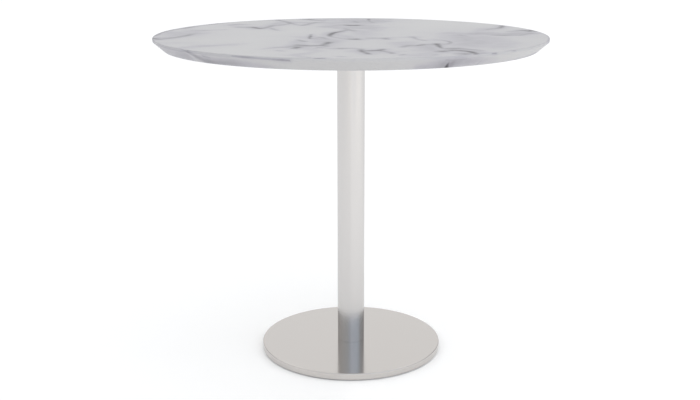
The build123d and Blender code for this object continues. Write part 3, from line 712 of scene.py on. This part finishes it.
def column_steel():
    """Satin stainless tube, belted along its length."""
    finish = Finish("column_steel", Metallic=1.0, Specular_Tint=rgb(0.9, 0.9, 0.9))
    streak = finish.noise((1500.0, 1500.0, 9.0), rough=0.6)
    broad = finish.noise((60.0, 60.0, 2.0), detail=2.0, rough=0.5)
    finish.colour(finish.blend(streak, rgb(0.608, 0.592, 0.582), rgb(0.644, 0.628, 0.618)))
    belted, worn = finish.between(streak, *NOISE_RANGE, start=0.16, end=0.21), 0.05
    finish.rough(maths(finish.tree, "MULTIPLY_ADD", broad, worn, belted))
    finish.bump((streak, 1.2))
    return finish.material


def base_steel():
    """Fine satin stainless sheet that still mirrors what stands on it."""
    finish = Finish("base_steel", Metallic=1.0)
    grain = finish.noise(2600.0, detail=2.0, rough=0.6)
    broad = finish.noise(7.0, rough=0.5)
    finish.colour(finish.blend(grain, rgb(0.590, 0.563, 0.543), rgb(0.612, 0.585, 0.565)))
    satin, worn = finish.between(grain, *NOISE_RANGE, start=0.09, end=0.12), 0.04
    finish.rough(maths(finish.tree, "MULTIPLY_ADD", broad, worn, satin))
    finish.bump((grain, 0.6))
    return finish.material


def casting(name, dark, light, coarse):
    """Painted or primed sand casting, as coarse as its number of microns."""
    finish = Finish(name, Specular_IOR_Level=0.4)
    skin = finish.noise(420.0)
    sand = finish.noise(70.0, detail=4.0, rough=0.6)
    finish.colour(finish.blend(sand, rgb(*dark), rgb(*light)))
    finish.rough(finish.between(skin, *NOISE_RANGE, start=0.48, end=0.62))
    finish.bump((sand, coarse), (skin, 60.0))
    return finish.material


def zinc_steel():
    """Bright zinc plate: cool, with faint yellow-blue bloom and fine crystals."""
    finish = Finish("zinc_steel", Metallic=1.0)
    bloom = finish.noise(160.0, rough=0.6)
    crystals = finish.cells(900.0)
    plate = (0.3, (0.56, 0.58, 0.62)), (0.5, (0.63, 0.63, 0.62)), (0.7, (0.66, 0.63, 0.56))
    finish.colour(finish.ramp(bloom, plate))
    finish.rough(finish.between(crystals, *CELL_RANGE, start=0.26, end=0.38))
    finish.bump((crystals, 6.0))
    return finish.material


def fibreboard():
    """Raw pressed fibreboard with pale and dark fibres."""
    finish = Finish("fibreboard", Specular_IOR_Level=0.2)
    fibre = finish.noise((900.0, 900.0, 2600.0), detail=4.0, rough=0.65)
    fleck = finish.noise(260.0, rough=0.6)
    board = finish.blend(fibre, rgb(0.30, 0.20, 0.115), rgb(0.50, 0.37, 0.24))
    flecked = finish.between(fleck, 0.6, 0.75, end=0.5)
    finish.colour(finish.blend(flecked, board, rgb(0.16, 0.10, 0.06)))
    finish.rough(finish.between(fibre, *NOISE_RANGE, start=0.78, end=0.92))
    finish.bump((fibre, 80.0))
    return finish.material


def backing_sheet():
    """Plain matt melamine with a fine pebble."""
    finish = Finish("backing_sheet", Specular_IOR_Level=0.35)
    pebble = finish.cells(1400.0)
    haze = finish.noise(5.0, rough=0.5)
    finish.colour(finish.blend(haze, rgb(0.66, 0.66, 0.65), rgb(0.71, 0.71, 0.70)))
    finish.rough(finish.between(pebble, *CELL_RANGE, start=0.46, end=0.58))
    finish.bump((pebble, 20.0))
    return finish.material


def black_rubber():
    """Closed-cell foam rubber."""
    finish = Finish("black_rubber", Specular_IOR_Level=0.25)
    pores = finish.cells(2200.0)
    dust = finish.noise(90.0, detail=4.0, rough=0.6)
    finish.colour(finish.blend(dust, rgb(0.022, 0.022, 0.023), rgb(0.045, 0.044, 0.043)))
    finish.rough(finish.between(pores, 0.0, 0.7, start=0.92, end=0.74))
    finish.bump((pores, 100.0))
    return finish.material


def grey_nylon():
    """Moulded nylon with a fine spark-eroded texture and scuffs."""
    finish = Finish("grey_nylon", Specular_IOR_Level=0.45)
    spark = finish.noise(1800.0, rough=0.6)
    scuff = finish.noise((240.0, 40.0, 240.0), rough=0.6)
    moulded = finish.blend(spark, rgb(0.070, 0.070, 0.073), rgb(0.095, 0.095, 0.098))
    scuffed = finish.between(scuff, 0.62, 0.72, end=0.35)
    finish.colour(finish.blend(scuffed, moulded, rgb(0.19, 0.19, 0.19)))
    finish.rough(finish.between(spark, *NOISE_RANGE, start=0.42, end=0.56))
    finish.bump((spark, 30.0))
    return finish.material


FINISHES = {
    "marble_laminate": marble_laminate(),
    "fibreboard": fibreboard(),
    "backing_sheet": backing_sheet(),
    "column_steel": column_steel(),
    "base_steel": base_steel(),
    "black_casting": casting("black_casting", (0.010, 0.010, 0.011), (0.019, 0.019, 0.020), 200),
    "grey_casting": casting("grey_casting", (0.030, 0.031, 0.034), (0.058, 0.059, 0.062), 400),
    "zinc_steel": zinc_steel(),
    "black_rubber": black_rubber(),
    "grey_nylon": grey_nylon(),
}
for subpart in frame["record"]["subparts"]:
    node = frame["nodes"][subpart["node"]]
    node.data.materials.clear()
    node.data.materials.append(FINISHES[subpart["material_slot"]])

# ---- the top, column and base --------------------------------------------------------------
FACE_ROUND, LIP_ROUND, SKIN_LAP, SKIN_RISE = 1.6, 1.2, 0.6, 0.2
FACE_RINGS = (0.98, 0.66, 0.33)
fit(
    "marble_top",
    rounded((
        (BEVEL_FOOT_R - SKIN_LAP, TOP_UNDER_Z),
        (BEVEL_FOOT_R, TOP_UNDER_Z, CUT_EDGE),
        (TOP_R, LIP_Z, LIP_ROUND),
        (TOP_R, TOP_Z, FACE_ROUND),
        *((TOP_R * share, TOP_Z) for share in FACE_RINGS),
        (0.0, TOP_Z),
        (0.0, TOP_Z - SKIN),
        (TOP_R - SKIN, TOP_Z - SKIN, FACE_ROUND - SKIN),
        (TOP_R - SKIN, LIP_Z + SKIN_RISE, LIP_ROUND - SKIN),
        (BEVEL_FOOT_R - SKIN_LAP, TOP_UNDER_Z),
    )),
    "table",
    "marble_laminate",
    "top_skin",
    segments=FINE,
)

# A thin skirt at each end of the tube hides the gasket from outside, and stops just short of
# the base and the spider.
SKIRT, SKIRT_INNER_R = GASKET - 0.05, 32.0
SKIRT_FOOT_Z, SKIRT_HEAD_Z = TUBE_FOOT_Z - SKIRT, TUBE_HEAD_Z + SKIRT
TUBE_RING = 200.0
fit(
    "steel_column",
    rounded((
        (TUBE_BORE_R, TUBE_FOOT_Z + 1.0),
        (TUBE_BORE_R, TUBE_FOOT_Z, CUT_EDGE),
        (SKIRT_INNER_R, TUBE_FOOT_Z),
        (SKIRT_INNER_R, SKIRT_FOOT_Z),
        (TUBE_R, SKIRT_FOOT_Z, CUT_EDGE),
        (TUBE_R, TUBE_FOOT_Z + TUBE_RING),
        (TUBE_R, TUBE_HEAD_Z - TUBE_RING),
        (TUBE_R, SKIRT_HEAD_Z, CUT_EDGE),
        (SKIRT_INNER_R, SKIRT_HEAD_Z),
        (SKIRT_INNER_R, TUBE_HEAD_Z),
        (TUBE_BORE_R, TUBE_HEAD_Z, CUT_EDGE),
        (TUBE_BORE_R, TUBE_FOOT_Z + 1.0),
    )),
    "table",
    "column_steel",
    "column_tube",
    segments=FINE,
)

COVER_ROUND, COVER_INNER_ROUND = 2.0, 0.8
fit(
    "base_disc_cover",
    rounded((
        (COVER_HOLE_R, BASE_Z - COVER),
        (BASE_R - COVER, BASE_Z - COVER, COVER_INNER_ROUND),
        (BASE_R - COVER, BASE_FOOT_Z, 0.2),
        (BASE_R, BASE_FOOT_Z, 0.3),
        (BASE_R, BASE_Z, COVER_ROUND),
        (BASE_R * 0.7, BASE_Z),
        (BASE_R * 0.4, BASE_Z),
        (COVER_HOLE_R, BASE_Z),
        (COVER_HOLE_R, BASE_Z - COVER),
    )),
    "table",
    "base_steel",
    "base_cover",
    segments=FINE,
)

for label, foot in (("top", TUBE_HEAD_Z), ("base", BASE_Z)):
    fit(
        "column_gasket_" + label,
        rounded((
            (TUBE_BORE_R, foot),
            (SKIRT_INNER_R, foot, CUT_EDGE),
            (SKIRT_INNER_R, foot + GASKET, CUT_EDGE),
            (TUBE_BORE_R, foot + GASKET),
            (TUBE_BORE_R, foot),
        )),
        "table",
        "black_rubber",
        f"column_{label}_gasket",
        segments=MEDIUM,
    )


# ---- screws, washers, the tie rod and the glides --------------------------------------------
def washer(name, node, inner, outer, under, over, soft=0.2, **layout):
    """A flat washer with softened outer edges, which stands for the node."""
    ring = rounded((
        (inner, under),
        (outer, under, soft),
        (outer, over, soft),
        (inner, over),
        (inner, under),
    ))
    fit(name, ring, "table", "zinc_steel", node, **layout)


def socket(across, deep, mouth):
    """Outline points of a hexagon socket, from its floor's middle down to its mouth."""
    half, lead, rim = across / 2, 0.3, 1.18
    floor = mouth + deep
    well = hexagon(((0.0, floor), (half, floor), (half, mouth + lead)))
    return well + rounded(((half * rim, mouth),))


def shank(radius, start, end, pitch, depth, tip=0.8):
    """Outline points of a threaded shank up to the middle of its tip."""
    cut = threaded(radius, start, end - tip, pitch, depth)
    return cut + rounded(((radius - tip, end), (0.0, end)))


screw_layout = {
    "count": 4,
    "rows": 2,
    "circle": SCREW_CIRCLE,
    "row_step": SCREW_STEP,
    "start": ARM_START,
    "spread": TAU,
}
SCREW_WASHER_HOLE_R, SCREW_WASHER_R = 3.5, 7.0
ring = (SCREW_WASHER_HOLE_R, SCREW_WASHER_R, SCREW_HEAD_Z, ARM_Z)
washer("spider_flat_washers", "spider_washers", *ring, seed=3, **screw_layout)

# The button head, as radii at depths from its face.
BUTTON_R = 5.5
BUTTON = ((2.9, 0.0), (4.0, 0.35), (4.9, 1.05), (5.4, 2.1), (BUTTON_R, 3.0))
fit(
    "spider_button_screws",
    socket(4.0, 2.2, HEAD_FACE_Z)
    + rounded((
        *((r, HEAD_FACE_Z + depth) for r, depth in BUTTON),
        (BUTTON_R, SCREW_HEAD_Z, 0.2),
        (M6_R + 0.1, SCREW_HEAD_Z),
    ))
    + shank(M6_R, SCREW_HEAD_Z + 0.2, SCREW_TIP_Z, M6_PITCH, M6_CUT),
    "table",
    "zinc_steel",
    "spider_screws",
    pitch=M6_PITCH,
    seed=8,
    **screw_layout,
)

ROD_FOOT_Z, ROD_TIP_Z, ROD_CHAMFER = 18.5, 738.0, 1.1
ROD_PLAIN_FOOT_Z, ROD_PLAIN_HEAD_Z = 52.0, 696.0
fit(
    "tie_rod_threaded",
    rounded(((0.0, ROD_FOOT_Z), (M12_R - ROD_CHAMFER, ROD_FOOT_Z)))
    + threaded(M12_R, ROD_FOOT_Z + ROD_CHAMFER, ROD_PLAIN_FOOT_Z, M12_PITCH, M12_CUT)
    + rounded(((M12_R, 280.0), (M12_R, 480.0)))
    + shank(M12_R, ROD_PLAIN_HEAD_Z, ROD_TIP_Z, M12_PITCH, M12_CUT, tip=ROD_CHAMFER),
    "table",
    "zinc_steel",
    "tie_rod",
    pitch=M12_PITCH,
)

ROD_WASHER_HOLE_R, ROD_WASHER_R, ROD_WASHER_Z, ROD_WASHER_HEAD_Z = 6.5, 15.0, 722.0, 724.5
ring = (ROD_WASHER_HOLE_R, ROD_WASHER_R, ROD_WASHER_Z, ROD_WASHER_HEAD_Z)
washer("tie_rod_flat_washer", "tie_rod_washer", *ring, soft=0.4, segments=MEDIUM)

NUT_FOOT_Z, NUT_HEAD_Z, NUT_HALF, NUT_FACE_R = 727.0, 737.0, 9.5, 9.1
NUT_MOUTH_R, NUT_LEAD, NUT_CHAMFER = 6.7, 0.7, 0.9
fit(
    "tie_rod_hex_nut",
    rounded(((NUT_MOUTH_R, NUT_FOOT_Z), (NUT_FACE_R, NUT_FOOT_Z)))
    + hexagon(((NUT_HALF, NUT_FOOT_Z + NUT_CHAMFER), (NUT_HALF, NUT_HEAD_Z - NUT_CHAMFER)))
    + rounded(((NUT_FACE_R, NUT_HEAD_Z), (NUT_MOUTH_R, NUT_HEAD_Z)))
    + threaded(
        M12_R + THREAD_PLAY, NUT_HEAD_Z - NUT_LEAD, NUT_FOOT_Z + NUT_LEAD, M12_PITCH, M12_CUT
    )
    + rounded(((NUT_MOUTH_R, NUT_FOOT_Z),)),
    "table",
    "zinc_steel",
    "tie_rod_nut",
    pitch=M12_PITCH,
)

BOLT_FACE_Z, BOLT_TIP_Z, BOLT_CIRCLE, BOLT_HEAD_R = 5.0, 30.5, 20.0, 8.0
fit(
    "spigot_countersunk_bolts",
    socket(5.0, 3.0, BOLT_FACE_Z)
    + rounded((
        (BOLT_HEAD_R - 0.2, BOLT_FACE_Z),
        (BOLT_HEAD_R, BOLT_FACE_Z + 0.25),
        (M8_R + 0.2, BOLT_FACE_Z + 4.0),
    ))
    + shank(M8_R, BOLT_FACE_Z + 4.4, BOLT_TIP_Z, M8_PITCH, M8_CUT),
    "table",
    "zinc_steel",
    "spigot_bolts",
    pitch=M8_PITCH,
    count=4,
    circle=BOLT_CIRCLE,
    spread=TAU,
    seed=5,
)

BUSH_FOOT_Z, BUSH_HEAD_Z, BUSH_R, BUSH_ROUND = 7.5, 16.0, 7.0, 0.4
BUSH_MOUTH_R, BUSH_LEAD = 4.7, 0.6
fit(
    "glide_threaded_bushes",
    rounded((
        (BUSH_MOUTH_R, BUSH_FOOT_Z),
        (BUSH_R, BUSH_FOOT_Z, BUSH_ROUND),
        (BUSH_R, BUSH_HEAD_Z, BUSH_ROUND),
        (BUSH_MOUTH_R, BUSH_HEAD_Z),
    ))
    + threaded(
        M8_R + THREAD_PLAY, BUSH_HEAD_Z - BUSH_LEAD, BUSH_FOOT_Z + BUSH_LEAD, M8_PITCH, M8_CUT
    )
    + rounded(((BUSH_MOUTH_R, BUSH_FOOT_Z),)),
    "table",
    "zinc_steel",
    "glide_bushes",
    pitch=M8_PITCH,
    count=4,
    circle=GLIDE_CIRCLE,
    start=GLIDE_START,
)

PAD_R, PAD_Z, PAD_SOFT = 12.0, 4.0, 0.8
PAD_HOLE_R, PAD_POCKET_R, PAD_POCKET_Z, PAD_POCKET_HEAD_Z = 3.5, 5.3, 1.4, 3.2
SOLE_R, SOLE_HOLLOW = 9.0, 0.3
pad_outline = rounded((
    (0.0, SOLE_HOLLOW),
    (SOLE_R - 0.4, SOLE_HOLLOW),
    (SOLE_R, 0.0),
    (PAD_R, 0.0, PAD_SOFT),
    (PAD_R, PAD_Z, PAD_SOFT),
    (PAD_HOLE_R, PAD_Z),
    (PAD_HOLE_R, PAD_POCKET_HEAD_Z),
    (PAD_POCKET_R, PAD_POCKET_HEAD_Z),
    (PAD_POCKET_R, PAD_POCKET_Z),
    (0.0, PAD_POCKET_Z),
))
BUTTON_END_R, BUTTON_END_Z, BUTTON_END_HEAD_Z, NECK_R = 5.0, 1.6, 3.0, 3.0
FLANGE_Z, FLANGE_HEAD_Z, FLANGE_HALF, FLANGE_CHAMFER = 4.2, 6.2, 6.5, 0.3
STUD_TIP_Z = 14.5
stud_outline = (
    rounded((
        (0.0, BUTTON_END_Z),
        (BUTTON_END_R, BUTTON_END_Z, 0.4),
        (BUTTON_END_R, BUTTON_END_HEAD_Z, 0.3),
        (NECK_R, BUTTON_END_HEAD_Z),
        (NECK_R, FLANGE_Z),
        (FLANGE_HALF - FLANGE_CHAMFER, FLANGE_Z),
    ))
    + hexagon((
        (FLANGE_HALF, FLANGE_Z + FLANGE_CHAMFER),
        (FLANGE_HALF, FLANGE_HEAD_Z - FLANGE_CHAMFER),
    ))
    + rounded(((FLANGE_HALF - FLANGE_CHAMFER, FLANGE_HEAD_Z), (M8_R + 0.1, FLANGE_HEAD_Z)))
    + shank(M8_R, FLANGE_HEAD_Z + 0.3, STUD_TIP_Z, M8_PITCH, M8_CUT)
)
for number in range(1, 5):
    spot = {"circle": GLIDE_CIRCLE, "start": GLIDE_START + GLIDE_STEP * (number - 1)}
    foot = (f"glide_foot_{number}", pad_outline, f"pad_{number}", "grey_nylon")
    fit(*foot, f"glide_pad_{number}", **spot)
    stud = (f"glide_screw_{number}", stud_outline, f"stud_{number}", "zinc_steel")
    fit(*stud, f"glide_stud_{number}", pitch=M8_PITCH, **spot)

# ---- camera and floor ----------------------------------------------------------------------
CAMERA_BACK, CAMERA_UP, CAMERA_ASIDE = 2.395, 1.003, -0.0023
CAMERA_TILT, LENS, SENSOR = 75.22, 53.10, 36.0
camera_data = bpy.data.cameras.new("view")
camera_data.lens = LENS
camera_data.sensor_width = SENSOR
camera = bpy.data.objects.new("view", camera_data)
camera.location = (CAMERA_ASIDE, -CAMERA_BACK, CAMERA_UP)
camera.rotation_euler = (math.radians(CAMERA_TILT), 0.0, 0.0)
bpy.context.scene.collection.objects.link(camera)
bpy.context.scene.camera = camera
bpy.context.scene.view_settings.view_transform = "Standard"

FLOOR_RADIUS, FLOOR_SIDES = 40.0, 96
floor_mesh = bpy.data.meshes.new("floor")
corner_angles = [TAU * number / FLOOR_SIDES for number in range(FLOOR_SIDES)]
floor_mesh.from_pydata(
    [(FLOOR_RADIUS * math.cos(a), FLOOR_RADIUS * math.sin(a), 0.0) for a in corner_angles],
    [],
    [tuple(range(FLOOR_SIDES))],
)
floor = bpy.data.objects.new("floor", floor_mesh)
bpy.context.scene.collection.objects.link(floor)

# The floor glows a little, more in a painted pool of light at the front right, which fades near
# the table as painted shade, and a touch more close to the base, where painted light lifts the
# contact shade.
FLOOR_GLOW, POOL_GLOW, CLOSE_GLOW = 0.138, 0.212, 0.010
POOL_SIDE, POOL_FRONT = (-0.035, 0.005), (1.5, 0.0)
POOL_REACH, POOL_NEAR_SHARE = (0.35, 1.1), 0.5
CLOSE_REACH = (0.9, 0.25)
paper = Finish("floor_paper", Specular_IOR_Level=0.0, Roughness=1.0)
paper.colour(rgb(0.86, 0.86, 0.86))
feed(paper.tree, paper.shader, {"Emission Color": rgb(1.0, 1.0, 1.0)})
floor_x, floor_y, _ = put(paper.tree, "ShaderNodeSeparateXYZ", paper.where).outputs
at_side = paper.between(floor_x, *POOL_SIDE)
at_front = paper.between(floor_y, *POOL_FRONT, smooth=True)
quarter = maths(paper.tree, "MULTIPLY", at_side, at_front)
from_axis = vectors(paper.tree, "LENGTH", paper.where, result="Value")
# Painted shade: the pool of light is weaker near the table.
clear_of_table = paper.between(from_axis, *POOL_REACH, start=POOL_NEAR_SHARE, end=1.0)
pool = maths(paper.tree, "MULTIPLY", quarter, clear_of_table)
close = paper.between(from_axis, *CLOSE_REACH, end=CLOSE_GLOW, smooth=True)
pooled = paper.between(pool, 0.0, 1.0, start=FLOOR_GLOW, end=POOL_GLOW)
strength = maths(paper.tree, "ADD", pooled, close)
feed(paper.tree, paper.shader, {"Emission Strength": strength})

# From below, the floor is clear.
behind = put(paper.tree, "ShaderNodeNewGeometry").outputs["Backfacing"]
clear = put(paper.tree, "ShaderNodeBsdfTransparent").outputs[0]
mixed = put(paper.tree, "ShaderNodeMixShader", behind, paper.shader.outputs[0], clear)
feed(paper.tree, paper.end, {0: mixed.outputs[0]})
floor_mesh.materials.append(paper.material)

# ---- studio walls, ceiling and lights ------------------------------------------------------
# Degrees round from the front, and the wall's colour there: a white cove behind the table.
WALLS = (
    (-180, (0.97, 0.97, 0.97)),
    (-166, (0.97, 0.97, 0.97)),
    (-140, (0.58, 0.58, 0.58)),
    (-100, (0.64, 0.645, 0.65)),
    (-30, (0.62, 0.66, 0.70)),
    (-14, (0.62, 0.69, 0.79)),
    (6, (0.77, 0.87, 1.02)),
    (60, (0.72, 0.83, 0.97)),
    (92, (0.50, 0.53, 0.57)),
    (146, (0.48, 0.48, 0.49)),
    (168, (0.97, 0.97, 0.97)),
)
CEILING = rgb(1.2, 1.2, 1.2)
CEILING_FROM, CEILING_TO = 0.45, 0.65

world = bpy.data.worlds.new("studio")
bpy.context.scene.world = world
world.use_nodes = True
sky = world.node_tree
sky.nodes.clear()
heading = put(sky, "ShaderNodeTexCoord").outputs["Generated"]
east, north, up = put(sky, "ShaderNodeSeparateXYZ", heading).outputs
bearing = maths(sky, "ARCTAN2", east, maths(sky, "MULTIPLY", north, -1.0))
share = maths(sky, "MULTIPLY_ADD", bearing, 1 / TAU, 0.5)
walls = put(sky, "ShaderNodeValToRGB", share)
set_stops(walls, [(degrees / 360 + 0.5, tint) for degrees, tint in WALLS])
climb = {"From Min": CEILING_FROM, "From Max": CEILING_TO}
above = put(sky, "ShaderNodeMapRange", up, interpolation_type="SMOOTHSTEP", named=climb)
cove = {0: above.outputs[0], 6: walls.outputs[0], 7: CEILING}
whole = put(sky, "ShaderNodeMix", data_type="RGBA", named=cove)
glow = put(sky, "ShaderNodeBackground", whole.outputs[2])
put(sky, "ShaderNodeOutputWorld", glow.outputs[0])


def softbox(name, place, aim, width, power, tint):
    """A square soft light at a place, facing a point."""
    data = bpy.data.lights.new(name, "AREA")
    data.size = width
    data.energy = power
    data.color = tint
    lamp = bpy.data.objects.new(name, data)
    lamp.location = place
    away = tuple(a - b for a, b in zip(place, aim))
    level = math.hypot(away[0], away[1])
    lamp.rotation_euler = (math.atan2(level, away[2]), 0.0, math.atan2(away[0], -away[1]))
    lamp.visible_glossy = False
    bpy.context.scene.collection.objects.link(lamp)


# Name, place, point faced, width in metres, power in watts and tint.
for box in (
    ("front", (1.0, -6.0, 4.0), (0.5, -6.0, 0.0), 3.0, 22.0, (1.0, 0.96, 0.92)),
    ("side", (6.0, -0.5, 4.0), (6.0, -0.5, 0.0), 3.0, 40.0, (1.0, 0.97, 0.93)),
    ("low_front", (-0.8, -5.0, 0.85), (0.0, 0.0, 0.78), 2.0, 13.0, (1.0, 0.80, 0.52)),
    ("low_right", (4.2, -2.6, 0.7), (0.0, 0.0, 0.75), 2.0, 15.0, (1.0, 0.84, 0.62)),
):
    softbox(*box)
